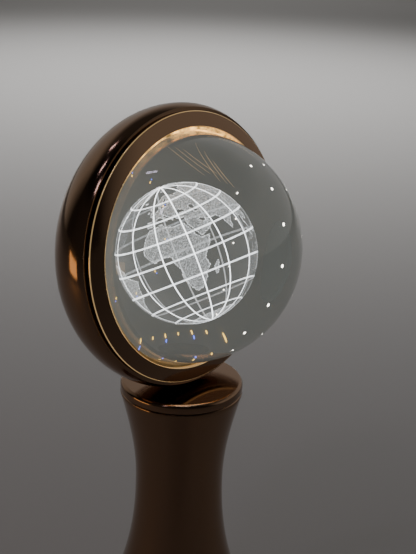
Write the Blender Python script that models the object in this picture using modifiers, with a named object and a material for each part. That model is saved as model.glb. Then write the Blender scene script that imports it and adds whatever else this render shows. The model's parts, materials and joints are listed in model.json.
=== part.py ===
"""Desktop globe lamp: a crystal ball with a lit rim, in a turning and tilting head on a trumpet column.

Frame: +Z up, the head faces -Y, and the origin is the centre of the underside.
Dimensions are in millimetres and are scaled to metres when each mesh is made.
"""

import math

import bpy
from mathutils import Matrix, Vector

MM = 0.001
GAP = 0.3                      # clearance between touching pieces
SMOOTH_ANGLE = math.radians(35)
FINE = 40                      # facets round a large turned piece
MIDDLE = 28                    # facets round a large piece that is out of sight
COARSE = 16                    # facets round a small turned piece
SCREW_FACETS = 10

# Stand: column, foot and weight
SEAT_TOP_Z = 120.4             # edge of the seat's polished top
SEAT_CROWN = 0.35              # how far the top domes up at its centre
SEAT_R = 22.3
SEAT_RIM_R = 1.5               # rounding of the seat's rim
SEAT_CAP_Z = 117.0             # lower edge of the seat cap
NECK_Z = 116.0                 # the column starts to narrow here
WAIST_Z = 80.0
WAIST_R = 16.4
FOOT_Z = 3.0                   # the trumpet ends and the foot's edge begins
FOOT_R = 40.0
FLARE_POWER = 2.2
WALL = 1.8
EDGE_Z = 1.0                   # lower edge of the column, just above the floor
LEDGE_Z = 109.0                # top of the ring that carries the bearing plate
LEDGE_BOTTOM_Z = 106.2
LEDGE_BORE_R = 14.0
RECESS_R = 18.3
PLATE_SCREW_R = 16.1           # radius of the circle of bearing plate screws
BASE_SCREW_R = 32.0            # radius of the circle of base screws
BASE_PLATE_Z = 1.6
BASE_PLATE_TOP_Z = 4.0
PAD_TOP_Z = 1.3
BOSS_TOP_Z = 9.4
FOOT_PAD_R = 36.5
BASE_PLATE_R = 36.9
BASE_SCREW_HEAD_R = 2.8
BASE_SCREW_SHAFT_R = 1.5
BASE_SCREW_HEAD_TOP_Z = 2.6
PLATE_SCREW_HEAD_R = 1.5
PLATE_SCREW_SHAFT_R = 1.0
WEIGHT_BOLT_HEAD_R = 4.5
WEIGHT_BOLT_SHAFT_R = 2.5
WEIGHT_BOLT_HEAD_TOP_Z = 2.7
WEIGHT_BORE_R = 2.8
WEIGHT_BORE_TOP_Z = 22.0
WEIGHT_R = 26.0
WEIGHT_TOP_Z = 46.0

# Swivel under the seat
PIN_R = 3.0
PIN_HEAD_R = 5.4
PIN_HEAD_Z = 113.25
PIN_HEAD_TOP_Z = 114.25
PIN_END_Z = 102.5
GROOVE_R = 2.2
GROOVE_Z = 104.0
GROOVE_TOP_Z = 105.0
PLATE_Z = 109.3
PLATE_TOP_Z = 111.3
HOLDER_Z = 112.4
HOLDER_FLOOR_Z = 114.3
MAGNET_Z = 114.6
MAGNET_TOP_Z = 118.0
SEAT_MAGNET_R = 12.5
HOLDER_R = 17.9
BUSH_R = 5.0
BUSH_FLANGE_R = 7.0
BUSH_FLANGE_TOP_Z = 109.0
BUSH_FLANGE_Z = 108.0
BUSH_TOP_Z = 111.2
BUSH_END_Z = 106.6
WASHER_BORE_R = 5.8
WASHER_R = 13.0
THRUST_WASHER_R = 6.8
THRUST_WASHER_Z = 105.3
THRUST_WASHER_TOP_Z = 106.3
CLIP_R = 5.5

# Head, measured along its own axis from the plane of the bezel's outer edge, positive forwards
HEAD_TILT = 6.8                # degrees, face up
RING_Y = -4.3                  # centre of the bezel's outer edge
BEZEL_R = 46.75
LIP_R = 41.5
LIP_S = 1.3
SEAM_S = -1.5                  # the shell's front edge
SHELL_R = 49.4
WIDEST_S = -6.1
FRONT_ARC_R = 8.5              # side of the shell in front of its widest line
SIDE_ARC_R = 22.25             # side of the shell behind it
BACK_ARC_R = 60.0
TURN_DEG = 50.0                # where the side arc runs into the back arc
SHELL_WALL = 1.8
BALL_R = 40.0
BALL_S = -3.7
BALL_CUT = 17.5                # the flat is this far behind the ball's centre
LED_COUNT = 12
LED_RING_R = 34.3              # round the bonding pad, under the edge of the flat
BOND_PAD_R = 32.6
BOARD_R = 35.4
LED_SIZE = (1.6, 3.0, 0.7)
LED_S = -22.0
BOARD_S = -22.6                # front face of the LED board
BOARD_BACK_S = -23.6
CARRIER_SCREW_R = 29.0
CARRIER_SCREW_HEAD_R = 1.9
CARRIER_SCREW_SHAFT_R = 1.0
CARRIER_SCREW_HEAD_S = -24.0
CARRIER_SCREW_SEAT_S = -24.7
CARRIER_SCREW_END_S = -28.6
CARRIER_FLOOR_S = -23.9
CARRIER_BACK_S = -25.4
BUTTON_R = 6.0
BUTTON_FLANGE_R = 7.0
BUTTON_FRONT_S = -34.6
BUTTON_FLANGE_S = -35.0
BUTTON_BACK_S = -38.0
BUTTON_EDGE = 0.4
USB_Y = -16.0
USB_WIDTH = 8.94
USB_HEIGHT = 3.26
MAGNET_DEG = 18.0              # the head magnet's place round the side arc

SIDE_ARC_CENTRE_R = SHELL_R - SIDE_ARC_R
CONTACT_Z = SEAT_TOP_Z + SEAT_CROWN + GAP
TILT_Z = CONTACT_Z + SIDE_ARC_R
TILT_RAD = math.radians(HEAD_TILT)
TILT_Y = (RING_Y - SIDE_ARC_CENTRE_R * math.sin(TILT_RAD) - WIDEST_S * math.cos(TILT_RAD))

COLOURS = {
    "bronze_plating": ((0.30, 0.19, 0.12), 0.08, 1.0),
    "gold_plating": ((0.90, 0.62, 0.25), 0.15, 1.0),
    "steel": ((0.62, 0.62, 0.63), 0.30, 1.0),
    "brass": ((0.75, 0.55, 0.25), 0.30, 1.0),
    "nickel": ((0.70, 0.68, 0.64), 0.20, 1.0),
    "iron": ((0.10, 0.10, 0.11), 0.70, 1.0),
    "white_abs": ((0.85, 0.85, 0.83), 0.45, 0.0),
    "black_abs": ((0.03, 0.03, 0.03), 0.45, 0.0),
    "nylon": ((0.80, 0.78, 0.70), 0.50, 0.0),
    "foam": ((0.04, 0.04, 0.04), 0.90, 0.0),
    "adhesive": ((0.80, 0.82, 0.82), 0.50, 0.0),
    "crystal": ((0.95, 0.97, 0.97), 0.00, 0.0),
    "led": ((1.00, 0.93, 0.70), 0.40, 0.0),
    "board": ((0.90, 0.90, 0.88), 0.50, 0.0),
    "green_board": ((0.03, 0.20, 0.09), 0.50, 0.0),
    "pouch": ((0.70, 0.71, 0.73), 0.35, 1.0),
    "lead": ((0.50, 0.02, 0.02), 0.50, 0.0),
}

materials = {}
collections = {}
pivots = {}


def clear_scene():
    """Remove every object and make the two collections."""
    for old in list(bpy.data.objects):
        bpy.data.objects.remove(old, do_unlink=True)
    for name in ("desktop_globe", "cutters"):
        collections[name] = bpy.data.collections.new(name)
        bpy.context.scene.collection.children.link(collections[name])


def make_materials():
    """One Principled material for each finish."""
    for name, (colour, roughness, metallic) in COLOURS.items():
        material = bpy.data.materials.new(name)
        material.use_nodes = True
        shader = material.node_tree.nodes["Principled BSDF"]
        shader.inputs["Base Color"].default_value = (*colour, 1.0)
        shader.inputs["Roughness"].default_value = roughness
        shader.inputs["Metallic"].default_value = metallic
        materials[name] = material


def make_pivots():
    """Empties on the joint axes: the seat turns about Z, and the head tilts about X."""
    for name, place, turn in (
        ("seat_pivot", (0, 0, SEAT_TOP_Z), 0.0),
        ("head_pivot", (0, TILT_Y, TILT_Z), math.radians(90.0) - TILT_RAD),
    ):
        empty = bpy.data.objects.new(name, None)
        empty.location = Vector(place) * MM
        empty.rotation_euler.x = turn
        collections["desktop_globe"].objects.link(empty)
        pivots[name] = empty


def arc(centre_r, centre_s, radius, start, end, steps):
    """Points round part of a circle, with the angles in degrees."""
    points = []
    for i in range(steps + 1):
        angle = math.radians(start + (end - start) * i / steps)
        points.append((centre_r + radius * math.cos(angle), centre_s + radius * math.sin(angle)))
    return points


def ring_of(count, radius, first_deg):
    """Places spread evenly round a circle."""
    places = []
    for i in range(count):
        angle = math.radians(first_deg + 360.0 * i / count)
        places.append((radius * math.cos(angle), radius * math.sin(angle), angle))
    return places


def link(obj, material, group="desktop_globe"):
    """Give an object its material and its collection, and shade it."""
    for old in list(obj.users_collection):
        old.objects.unlink(obj)
    collections[group].objects.link(obj)
    obj.data.materials.clear()
    obj.data.materials.append(materials[material])
    if group == "cutters":
        obj.hide_render = True
        obj.display_type = "WIRE"
    return obj


def to_head(obj):
    """Hang a piece, placed in the head's own frame, on the tilt axis."""
    obj.parent = pivots["head_pivot"]
    obj.location += Vector((0, SIDE_ARC_CENTRE_R, -WIDEST_S)) * MM
    return obj


def to_seat(obj):
    """Hang a piece, placed in the world, on the seat's turning axis."""
    obj.parent = pivots["seat_pivot"]
    obj.location -= Vector((0, 0, SEAT_TOP_Z)) * MM
    return obj


def turned(name, profile, material, steps=FINE, closed=False, group="desktop_globe"):
    """A turned piece: the profile runs down its outer side, and closed rings come back up inside."""
    mesh = bpy.data.meshes.new(name)
    points = [(r * MM, 0.0, s * MM) for r, s in profile]
    edges = [(i, i + 1) for i in range(len(points) - 1)]
    if closed:
        edges.append((len(points) - 1, 0))
    mesh.from_pydata(points, edges, [])
    obj = bpy.data.objects.new(name, mesh)
    collections[group].objects.link(obj)
    screw = obj.modifiers.new("turn", "SCREW")
    screw.steps = steps
    screw.render_steps = steps
    screw.use_merge_vertices = True
    screw.merge_threshold = 0.00001
    screw.use_smooth_shade = True
    return link(obj, material, group)


def tube(name, inner, outer, low, high, material, steps=FINE):
    """A plain ring between two radii and two heights."""
    profile = [(outer, high), (outer, low), (inner, low), (inner, high)]
    return turned(name, profile, material, steps, closed=True)


def disc(name, radius, low, high, material, steps=FINE, group="desktop_globe"):
    """A plain solid disc on the turning axis."""
    profile = [(0, high), (radius, high), (radius, low), (0, low)]
    return turned(name, profile, material, steps, group=group)


def rod(name, radius, place, low, high, material, steps=COARSE, group="desktop_globe"):
    """A cylinder along Z at a place off the axis."""
    bpy.ops.mesh.primitive_cylinder_add(
        vertices=steps,
        radius=radius * MM,
        depth=(high - low) * MM,
        location=(place[0] * MM, place[1] * MM, (low + high) * 0.5 * MM),
    )
    obj = bpy.context.object
    obj.name = name
    obj.data.shade_smooth()
    obj.data.set_sharp_from_angle(angle=SMOOTH_ANGLE)
    return link(obj, material, group)


def block(name, size, centre, material, round_mm=0.0, group="desktop_globe"):
    """A box, with rounded edges where asked."""
    bpy.ops.mesh.primitive_cube_add(size=1.0, location=Vector(centre) * MM)
    obj = bpy.context.object
    obj.name = name
    obj.data.transform(Matrix.Diagonal((*(Vector(size) * MM), 1.0)))
    if round_mm:
        bevel = obj.modifiers.new("round", "BEVEL")
        bevel.width = round_mm * MM
        bevel.segments = 2
    return link(obj, material, group)


def combine(obj, other, operation):
    """Boolean one object with another, and keep both places."""
    modifier = obj.modifiers.new(operation.lower(), "BOOLEAN")
    modifier.operation = operation
    modifier.solver = "EXACT"
    modifier.object = other


def screw_piece(name, place, head_r, shaft_r, head_z, end_z, other_head_z, material="steel"):
    """A pan screw along Z, its head from head_z to other_head_z and its shaft down or up to end_z."""
    low = min(head_z, other_head_z)
    high = max(head_z, other_head_z)
    if end_z < low:
        profile = [(0, high), (head_r, high), (head_r, low), (shaft_r, low), (shaft_r, end_z), (0, end_z)]
    else:
        profile = [(0, end_z), (shaft_r, end_z), (shaft_r, high), (head_r, high), (head_r, low), (0, low)]
    obj = turned(name, profile, material, SCREW_FACETS)
    obj.location = Vector((place[0], place[1], 0)) * MM
    return obj


# ---------------------------------------------------------------- stand

def neck_r(z):
    """Outer radius of the column above its waist, a quarter of a cosine."""
    share = (z - WAIST_Z) / (NECK_Z - WAIST_Z)
    return WAIST_R + (SEAT_R - WAIST_R) * (1.0 - math.cos(0.5 * math.pi * share))


def flare_r(z):
    """Outer radius of the column below its waist, a power curve out to the foot."""
    share = (WAIST_Z - z) / (WAIST_Z - FOOT_Z)
    return WAIST_R + (FOOT_R - WAIST_R) * share ** FLARE_POWER


def spaced(first, last, count):
    """Evenly spaced values, both ends included."""
    return [first + (last - first) * i / (count - 1) for i in range(count)]


def make_column():
    """The plated column: neck, waist and trumpet foot, with a ledge inside its top and three bosses."""
    outer = [(SEAT_R - 0.15, SEAT_CAP_Z - GAP)]
    outer += [(neck_r(z), z) for z in spaced(NECK_Z, WAIST_Z, 7)]
    outer += [(flare_r(z), z) for z in spaced(WAIST_Z, FOOT_Z, 11)[1:]]
    outer += [(FOOT_R, EDGE_Z + 0.4), (FOOT_R - 0.4, EDGE_Z)]
    inner = [(FOOT_R - WALL, EDGE_Z), (FOOT_R - WALL, FOOT_Z)]
    inner += [(flare_r(z) - WALL, z) for z in spaced(FOOT_Z, WAIST_Z, 6)[1:]]
    inner += [(neck_r(z) - WALL, z) for z in spaced(WAIST_Z, LEDGE_BOTTOM_Z, 3)[1:]]
    inner += [(LEDGE_BORE_R, LEDGE_BOTTOM_Z), (LEDGE_BORE_R, LEDGE_Z), (RECESS_R, LEDGE_Z)]
    inner += [(RECESS_R, LEDGE_Z + 3.0), (SEAT_R - WALL, SEAT_CAP_Z - GAP)]
    column = turned("column_shell", outer + inner, "bronze_plating", closed=True)
    for i, place in enumerate(ring_of(3, BASE_SCREW_R, 90)):
        boss = rod(f"base_boss_{i}", 3.2, place, BASE_PLATE_TOP_Z + GAP, BOSS_TOP_Z, "bronze_plating",
                   SCREW_FACETS, "cutters")
        combine(column, boss, "UNION")
    for i, place in enumerate(ring_of(3, BASE_SCREW_R, 90)):
        hole = rod(f"base_hole_{i}", 1.8, place, 2.0, BOSS_TOP_Z - 0.8, "bronze_plating", SCREW_FACETS,
                   "cutters")
        combine(column, hole, "DIFFERENCE")
    for i, place in enumerate(ring_of(3, PLATE_SCREW_R, 90)):
        hole = rod(f"ledge_hole_{i}", 1.25, place, LEDGE_BOTTOM_Z + 0.6, LEDGE_Z + 1.0, "bronze_plating",
                   SCREW_FACETS, "cutters")
        combine(column, hole, "DIFFERENCE")


def make_bearing():
    """Bearing plate, its screws, and the bush and washer that the seat turns on."""
    plate = tube("bearing_plate", 5.3, RECESS_R - GAP, PLATE_Z, PLATE_TOP_Z, "steel", MIDDLE)
    for i, place in enumerate(ring_of(3, PLATE_SCREW_R, 90)):
        hole = rod(f"plate_hole_{i}", 1.3, place, PLATE_Z - 1, PLATE_TOP_Z + 1, "steel", SCREW_FACETS,
                   "cutters")
        combine(plate, hole, "DIFFERENCE")
        sink = rod(f"plate_sink_{i}", 1.75, place, PLATE_TOP_Z - 1.1, PLATE_TOP_Z + 1, "steel", SCREW_FACETS,
                   "cutters")
        combine(plate, sink, "DIFFERENCE")
        screw_piece(f"plate_screw_{i + 1}", place, PLATE_SCREW_HEAD_R, PLATE_SCREW_SHAFT_R,
                    PLATE_TOP_Z - 0.9, LEDGE_BOTTOM_Z + 0.9, PLATE_TOP_Z - 0.1)
    bush = [(BUSH_R, BUSH_TOP_Z), (BUSH_R, BUSH_FLANGE_TOP_Z), (BUSH_FLANGE_R, BUSH_FLANGE_TOP_Z)]
    bush += [(BUSH_FLANGE_R, BUSH_FLANGE_Z), (BUSH_R, BUSH_FLANGE_Z), (BUSH_R, BUSH_END_Z)]
    bush += [(PIN_R + 0.15, BUSH_END_Z), (PIN_R + 0.15, BUSH_TOP_Z)]
    turned("stem_bush", bush, "brass", COARSE, closed=True)
    tube("friction_washer", WASHER_BORE_R, WASHER_R, PLATE_TOP_Z + GAP, HOLDER_Z - GAP, "nylon",
         COARSE)


def make_base():
    """Iron weight, base plate, foam pad and their fasteners."""
    weight = [(0, WEIGHT_TOP_Z), (13.0, WEIGHT_TOP_Z), (18.4, 38.0), (21.6, 28.0), (WEIGHT_R, 15.0)]
    weight += [(WEIGHT_R, BASE_PLATE_TOP_Z + GAP), (WEIGHT_BORE_R, BASE_PLATE_TOP_Z + GAP)]
    weight += [(WEIGHT_BORE_R, WEIGHT_BORE_TOP_Z), (0, WEIGHT_BORE_TOP_Z)]
    turned("base_weight", weight, "iron", MIDDLE)
    sink_r = WEIGHT_BOLT_HEAD_R + 0.4
    sink_z = WEIGHT_BOLT_HEAD_TOP_Z + GAP
    plate = [(BASE_PLATE_R, BASE_PLATE_TOP_Z), (BASE_PLATE_R, BASE_PLATE_Z), (sink_r, BASE_PLATE_Z)]
    plate += [(sink_r, sink_z), (WEIGHT_BORE_R, sink_z), (WEIGHT_BORE_R, BASE_PLATE_TOP_Z)]
    base_plate = turned("base_plate", plate, "black_abs", closed=True)
    screw_piece("weight_bolt", (0, 0), WEIGHT_BOLT_HEAD_R, WEIGHT_BOLT_SHAFT_R, BASE_PLATE_Z + 0.1,
                WEIGHT_BORE_TOP_Z - 2.0, WEIGHT_BOLT_HEAD_TOP_Z)
    for i, place in enumerate(ring_of(3, BASE_SCREW_R, 90)):
        hole = rod(f"base_plate_hole_{i}", 1.8, place, 0, 6, "black_abs", SCREW_FACETS, "cutters")
        combine(base_plate, hole, "DIFFERENCE")
        sink = rod(f"base_plate_sink_{i}", 3.1, place, 0, 2.9, "black_abs", SCREW_FACETS, "cutters")
        combine(base_plate, sink, "DIFFERENCE")
        screw_piece(f"base_screw_{i + 1}", place, BASE_SCREW_HEAD_R, BASE_SCREW_SHAFT_R, BASE_PLATE_Z + 0.1,
                    BOSS_TOP_Z - 1.4, BASE_SCREW_HEAD_TOP_Z)
    disc("foot_pad", FOOT_PAD_R, 0, PAD_TOP_Z, "foam", FINE)


# ---------------------------------------------------------------- seat

def make_seat():
    """The polished seat cap, its magnet and holder, and the pin that holds them to the column."""
    flat_r = SEAT_R - SEAT_RIM_R
    cap = [(flat_r * t, SEAT_TOP_Z + SEAT_CROWN * (1.0 - t * t)) for t in (0.0, 0.25, 0.5, 0.75, 1.0)]
    cap += arc(flat_r, SEAT_TOP_Z - SEAT_RIM_R, SEAT_RIM_R, 90, 0, 5)[1:]
    cap += [(SEAT_R, SEAT_CAP_Z + 0.2), (SEAT_R - 0.2, SEAT_CAP_Z), (SEAT_R - WALL, SEAT_CAP_Z)]
    cap += [(SEAT_R - WALL, MAGNET_TOP_Z + GAP), (0, MAGNET_TOP_Z + GAP)]
    to_seat(turned("seat_cap", cap, "bronze_plating"))
    to_seat(disc("seat_magnet", SEAT_MAGNET_R, MAGNET_Z, MAGNET_TOP_Z, "nickel", MIDDLE))
    pocket_r = SEAT_MAGNET_R + GAP
    holder = [(HOLDER_R, MAGNET_TOP_Z), (HOLDER_R, HOLDER_Z), (PIN_R + 0.2, HOLDER_Z)]
    holder += [(PIN_R + 0.2, PIN_HEAD_Z - 0.25), (PIN_HEAD_R + GAP, PIN_HEAD_Z - 0.25)]
    holder += [(PIN_HEAD_R + GAP, HOLDER_FLOOR_Z), (pocket_r, HOLDER_FLOOR_Z), (pocket_r, MAGNET_TOP_Z)]
    to_seat(turned("magnet_holder", holder, "black_abs", MIDDLE, closed=True))
    pin = [(0, PIN_HEAD_TOP_Z), (PIN_HEAD_R, PIN_HEAD_TOP_Z), (PIN_HEAD_R, PIN_HEAD_Z)]
    pin += [(PIN_R, PIN_HEAD_Z), (PIN_R, GROOVE_TOP_Z), (GROOVE_R, GROOVE_TOP_Z), (GROOVE_R, GROOVE_Z)]
    pin += [(PIN_R, GROOVE_Z), (PIN_R, PIN_END_Z), (0, PIN_END_Z)]
    to_seat(turned("swivel_pin", pin, "steel", COARSE))
    to_seat(tube("thrust_washer", PIN_R + GAP, THRUST_WASHER_R, THRUST_WASHER_Z, THRUST_WASHER_TOP_Z, "nylon",
                 COARSE))
    clip = to_seat(tube("retaining_clip", GROOVE_R + 0.15, CLIP_R, GROOVE_Z + 0.2, GROOVE_TOP_Z - 0.2,
                        "steel", COARSE))
    slot = to_seat(block("clip_slot", (8, 3.4, 2), (4.6, 0, 104.5), "steel", group="cutters"))
    combine(clip, slot, "DIFFERENCE")


# ---------------------------------------------------------------- head

def back_arc_centre():
    """Centre of the back arc, which touches the side arc where they meet."""
    turn = math.radians(TURN_DEG)
    step = BACK_ARC_R - SIDE_ARC_R
    return SIDE_ARC_CENTRE_R - step * math.cos(turn), WIDEST_S + step * math.sin(turn)


def shell_side(inset, steps_front, steps_side, steps_back):
    """The shell's profile from its front edge to the axis, at a given depth below the outer skin."""
    front_r = FRONT_ARC_R - inset
    front_start = math.degrees(math.asin((SEAM_S - WIDEST_S) / front_r))
    back_r, back_s = back_arc_centre()
    points = arc(SHELL_R - FRONT_ARC_R, WIDEST_S, front_r, front_start, 0, steps_front)
    points += arc(SIDE_ARC_CENTRE_R, WIDEST_S, SIDE_ARC_R - inset, 0, -TURN_DEG, steps_side)[1:]
    points += arc(back_r, back_s, BACK_ARC_R - inset, -TURN_DEG, -90, steps_back)[1:]
    return points + [(0, back_s - BACK_ARC_R + inset)]


def make_shell():
    """The domed rear shell, with its screw bosses and the holes for the button and the charging socket."""
    outer = shell_side(0.0, 2, 8, 5)
    inner = shell_side(SHELL_WALL, 1, 5, 4)
    shell = to_head(turned("rear_shell", inner[::-1] + outer, "bronze_plating"))
    for i, place in enumerate(ring_of(3, CARRIER_SCREW_R, 90)):
        boss = to_head(rod(f"shell_boss_{i}", 2.6, place, -29.6, CARRIER_BACK_S - GAP, "bronze_plating",
                           SCREW_FACETS, "cutters"))
        combine(shell, boss, "UNION")
    for i, place in enumerate(ring_of(3, CARRIER_SCREW_R, 90)):
        hole = to_head(rod(f"shell_hole_{i}", 1.25, place, -28.9, -24, "bronze_plating", SCREW_FACETS,
                           "cutters"))
        combine(shell, hole, "DIFFERENCE")
    hole = to_head(rod("button_hole", BUTTON_R + 0.35, (0, 0), -40, -30, "bronze_plating", COARSE,
                       "cutters"))
    combine(shell, hole, "DIFFERENCE")
    slot = to_head(block("usb_slot", (USB_WIDTH + 0.8, USB_HEIGHT + 0.8, 10), (0, USB_Y, -36),
                         "bronze_plating", 1.9, "cutters"))
    combine(shell, slot, "DIFFERENCE")


def make_bezel():
    """The front bezel: a shallow cone that rises to the glass, and a skirt inside the shell."""
    bezel = [(LIP_R, LIP_S - 0.25), (LIP_R + 0.25, LIP_S), (BEZEL_R - 0.35, 0.0), (BEZEL_R, -0.35)]
    bezel += [(BEZEL_R, SEAM_S + GAP), (45.2, SEAM_S + GAP), (45.2, -5.0), (44.2, -5.0)]
    bezel += [(44.2, -1.5), (LIP_R, -0.2)]
    to_head(turned("front_bezel", bezel, "bronze_plating", closed=True))


def make_ball():
    """The crystal ball, cut flat behind, and the white pad that bonds it to the LED board."""
    cut_deg = math.degrees(math.asin((BALL_CUT - 0.4) / BALL_R))
    profile = [(0.0 if r < 0.001 else r, s) for r, s in arc(0, BALL_S, BALL_R, 90, -cut_deg, 16)]
    flat_r = math.sqrt(BALL_R ** 2 - BALL_CUT ** 2) - 0.4
    profile += [(flat_r, BALL_S - BALL_CUT), (0, BALL_S - BALL_CUT)]
    to_head(turned("crystal_ball", profile, "crystal"))
    bond_s = BALL_S - BALL_CUT - GAP
    to_head(disc("bond_pad", BOND_PAD_R, bond_s - 0.9, bond_s, "adhesive", MIDDLE))


def make_reflector():
    """The gold reflector that rings the glass behind the bezel."""
    inner = [(40.55, 0.3), (40.35, -3.7), (40.0, -9.0), (38.9, -15.0), (37.4, -20.2)]
    outer = [(r + 0.8, s) for r, s in inner]
    to_head(turned("reflector_ring", outer + inner[::-1], "gold_plating", closed=True))


def make_lamp():
    """The carrier, the LED board with its ring of LEDs, and the carrier's screws."""
    carrier = [(38.6, -20.6), (38.6, -22.6), (36.6, -24.0), (34.0, CARRIER_BACK_S), (2.0, CARRIER_BACK_S)]
    carrier += [(2.0, CARRIER_FLOOR_S), (BOARD_R + 0.3, CARRIER_FLOOR_S), (BOARD_R + 0.3, -22.1)]
    carrier += [(36.8, -22.1), (36.8, -20.6)]
    lamp_carrier = to_head(turned("lamp_carrier", carrier, "white_abs", closed=True))
    for i, place in enumerate(ring_of(3, CARRIER_SCREW_R, 90)):
        hole = to_head(rod(f"carrier_hole_{i}", 1.25, place, -27, -22, "white_abs", SCREW_FACETS,
                           "cutters"))
        combine(lamp_carrier, hole, "DIFFERENCE")
        sink = to_head(rod(f"carrier_sink_{i}", 2.2, place, -24.9, -22, "white_abs", SCREW_FACETS,
                           "cutters"))
        combine(lamp_carrier, sink, "DIFFERENCE")
        to_head(screw_piece(f"carrier_screw_{i + 1}", place, CARRIER_SCREW_HEAD_R, CARRIER_SCREW_SHAFT_R,
                            CARRIER_SCREW_SEAT_S, CARRIER_SCREW_END_S, CARRIER_SCREW_HEAD_S))
    window = to_head(block("connector_window", (5.0, 3.4, 4), (0, -24, -24.5), "white_abs",
                           group="cutters"))
    combine(lamp_carrier, window, "DIFFERENCE")
    to_head(disc("led_board", BOARD_R, BOARD_BACK_S, BOARD_S, "board", MIDDLE))
    for i, (x, y, angle) in enumerate(ring_of(LED_COUNT, LED_RING_R, 90)):
        led = block(f"led_{i + 1:02d}", LED_SIZE, (x, y, LED_S), "led")
        led.rotation_euler.z = angle
        to_head(led)


def make_electronics():
    """Battery, driver board with its socket and connector, and the switch behind the button."""
    to_head(block("battery", (38, 24, 4.6), (0, 3, -28.1), "pouch", 1.2))
    to_head(block("driver_board", (28, 17, 1.0), (0, -18.5, -26.3), "green_board"))
    to_head(block("led_connector", (4.0, 2.4, 1.3), (0, -24, -24.75), "black_abs"))
    socket_low = -35.0
    socket_high = -27.1
    length = socket_high - socket_low
    socket = to_head(block("usb_socket", (USB_WIDTH, USB_HEIGHT, length),
                           (0, USB_Y, (socket_low + socket_high) / 2), "steel", 1.2))
    pocket = to_head(block("usb_pocket", (8.3, 2.6, 6.0), (0, USB_Y, socket_low + 2.5), "steel", 1.0,
                           "cutters"))
    combine(socket, pocket, "DIFFERENCE")
    tongue = to_head(block("usb_tongue", (6.7, 0.7, 6.0), (0, USB_Y, socket_low + 3.8), "steel",
                           group="cutters"))
    combine(socket, tongue, "UNION")
    to_head(block("switch_board", (14, 10, 0.8), (0, 0, -31.4), "green_board"))
    switch = to_head(block("tact_switch", (6, 6, 1.2), (0, 0, -32.7), "black_abs"))
    stem = to_head(rod("switch_stem", 1.6, (0, 0), -33.9, -33.0, "black_abs", SCREW_FACETS, "cutters"))
    combine(switch, stem, "UNION")


def make_button():
    """The push button in the middle of the back."""
    profile = [(0, BUTTON_FRONT_S), (BUTTON_FLANGE_R, BUTTON_FRONT_S), (BUTTON_FLANGE_R, BUTTON_FLANGE_S)]
    profile += [(BUTTON_R, BUTTON_FLANGE_S), (BUTTON_R, BUTTON_BACK_S + BUTTON_EDGE)]
    profile += [(BUTTON_R - BUTTON_EDGE, BUTTON_BACK_S), (0, BUTTON_BACK_S)]
    to_head(turned("power_button", profile, "bronze_plating", COARSE))


def make_head_magnet():
    """The magnet low in the shell that holds the head to the seat, and its cradle."""
    turn = math.radians(MAGNET_DEG)
    for name, inner, outer, low, high, material in (
        ("head_magnet", 0.0, 5.0, 16.5, 19.4, "nickel"),
        ("magnet_cradle", 5.3, 6.4, 16.8, 18.8, "black_abs"),
    ):
        if inner:
            piece = tube(name, inner, outer, low, high, material, COARSE)
        else:
            piece = disc(name, outer, low, high, material, COARSE)
        piece.rotation_euler.x = math.radians(90) + turn
        piece.location = Vector((0, -SIDE_ARC_CENTRE_R, WIDEST_S)) * MM
        to_head(piece)


def lead(name, points, material):
    """A short insulated lead between two boards."""
    curve = bpy.data.curves.new(name, "CURVE")
    curve.dimensions = "3D"
    curve.bevel_depth = 0.6 * MM
    curve.bevel_resolution = 2
    curve.use_fill_caps = True
    spline = curve.splines.new("POLY")
    spline.points.add(len(points) - 1)
    for point, place in zip(spline.points, points):
        point.co = (*(Vector(place) * MM), 1.0)
    obj = bpy.data.objects.new(name, curve)
    collections["desktop_globe"].objects.link(obj)
    curve.materials.append(materials[material])
    return to_head(obj)


def make_leads():
    """The leads from the battery and from the driver board to the switch."""
    lead("battery_lead", [(-14.5, -9.9, -28.4), (-15.2, -10.9, -28.4), (-15.6, -12.5, -28.3),
                          (-15.2, -14.0, -27.9), (-13.5, -14.6, -27.75)], "lead")
    lead("switch_lead", [(9.0, -11.6, -27.5), (9.0, -11.4, -28.6), (8.9, -11.0, -30.0),
                         (8.6, -9.4, -31.4), (8.2, -6.8, -31.9), (8.0, -4.4, -31.9)], "lead")


def main():
    """Build the lamp from its foot up."""
    clear_scene()
    make_materials()
    make_pivots()
    make_column()
    make_bearing()
    make_base()
    make_seat()
    make_shell()
    make_bezel()
    make_ball()
    make_reflector()
    make_lamp()
    make_electronics()
    make_button()
    make_head_magnet()
    make_leads()


main()
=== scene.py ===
import json
import math

import bpy
from mathutils import Euler, Matrix, Vector


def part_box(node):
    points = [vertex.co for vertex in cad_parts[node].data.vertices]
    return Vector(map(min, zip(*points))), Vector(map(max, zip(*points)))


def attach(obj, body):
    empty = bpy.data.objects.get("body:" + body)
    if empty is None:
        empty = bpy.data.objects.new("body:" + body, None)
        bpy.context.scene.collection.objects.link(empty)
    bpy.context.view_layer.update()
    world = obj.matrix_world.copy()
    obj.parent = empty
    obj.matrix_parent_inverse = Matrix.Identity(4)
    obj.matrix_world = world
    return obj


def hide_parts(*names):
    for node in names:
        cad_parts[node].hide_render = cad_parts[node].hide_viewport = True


bl_info = {
    "name": "Globe Lamp",
    "version": (1, 0, 0),
    "blender": (4, 5, 0),
    "location": "3D View > Sidebar > Globe Lamp",
    "description": "A crystal globe lamp with a plated head on a trumpet column",
    "category": "Object",
}

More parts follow.
